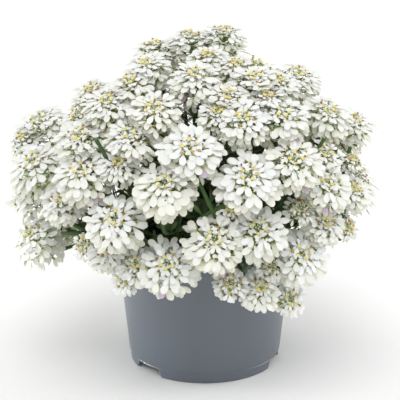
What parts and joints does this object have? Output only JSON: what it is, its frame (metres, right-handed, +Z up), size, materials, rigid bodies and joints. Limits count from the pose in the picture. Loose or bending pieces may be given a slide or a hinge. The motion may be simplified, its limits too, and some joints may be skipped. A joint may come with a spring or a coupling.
{
  "type": "potted evergreen candytuft",
  "caption": "Evergreen candytuft in a plastic nursery pot: a dome of white flower heads on leafy stems, spilling over the rim.",
  "frame": {"origin": "on the ground under the pot's axis, at the middle of the plant's reach", "axes": "+Z up, -Y towards the side seen in the picture, +X to that side's right"},
  "size_m": [0.2584, 0.2428, 0.2405],
  "materials": {
    "pot_plastic": "satin",
    "potting_soil": "matt, crumbly",
    "green_growth": "satin leaf",
    "white_flowers": "matt petal"
  },
  "bodies": {
    "root": {"pot": "pot_plastic", "soil": "potting_soil", "leafy_stem_01": "green_growth", "leafy_stem_02": "green_growth", "leafy_stem_03": "green_growth", "leafy_stem_04": "green_growth", "leafy_stem_05": "green_growth", "leafy_stem_06": "green_growth", "leafy_stem_07": "green_growth", "flower_heads_01": "white_flowers", "flower_heads_02": "white_flowers", "flower_heads_03": "white_flowers", "flower_heads_04": "white_flowers", "flower_heads_05": "white_flowers", "flower_heads_06": "white_flowers", "flower_heads_07": "white_flowers", "flower_heads_08": "white_flowers", "flower_heads_09": "white_flowers", "flower_heads_10": "white_flowers", "flower_heads_11": "white_flowers", "flower_heads_12": "white_flowers", "flower_heads_13": "white_flowers", "flower_heads_14": "white_flowers", "flower_heads_15": "white_flowers", "flower_heads_16": "white_flowers", "flower_heads_17": "white_flowers", "flower_heads_18": "white_flowers", "flower_heads_19": "white_flowers", "flower_heads_20": "white_flowers", "flower_heads_21": "white_flowers", "flower_heads_22": "white_flowers", "flower_heads_23": "white_flowers", "flower_heads_24": "white_flowers", "flower_heads_25": "white_flowers", "flower_heads_26": "white_flowers", "flower_heads_27": "white_flowers", "flower_heads_28": "white_flowers", "flower_heads_29": "white_flowers", "flower_heads_30": "white_flowers", "flower_heads_31": "white_flowers", "flower_heads_32": "white_flowers", "flower_heads_33": "white_flowers", "flower_heads_34": "white_flowers", "flower_heads_35": "white_flowers", "flower_heads_36": "white_flowers", "flower_heads_37": "white_flowers", "flower_heads_38": "white_flowers", "flower_heads_39": "white_flowers", "flower_heads_40": "white_flowers", "flower_heads_41": "white_flowers", "flower_heads_42": "white_flowers", "flower_heads_43": "white_flowers", "flower_heads_44": "white_flowers", "flower_heads_45": "white_flowers", "flower_heads_46": "white_flowers", "flower_heads_47": "white_flowers", "flower_heads_48": "white_flowers", "flower_heads_49": "white_flowers", "flower_heads_50": "white_flowers", "flower_heads_51": "white_flowers"}
  },
  "joints": []
}
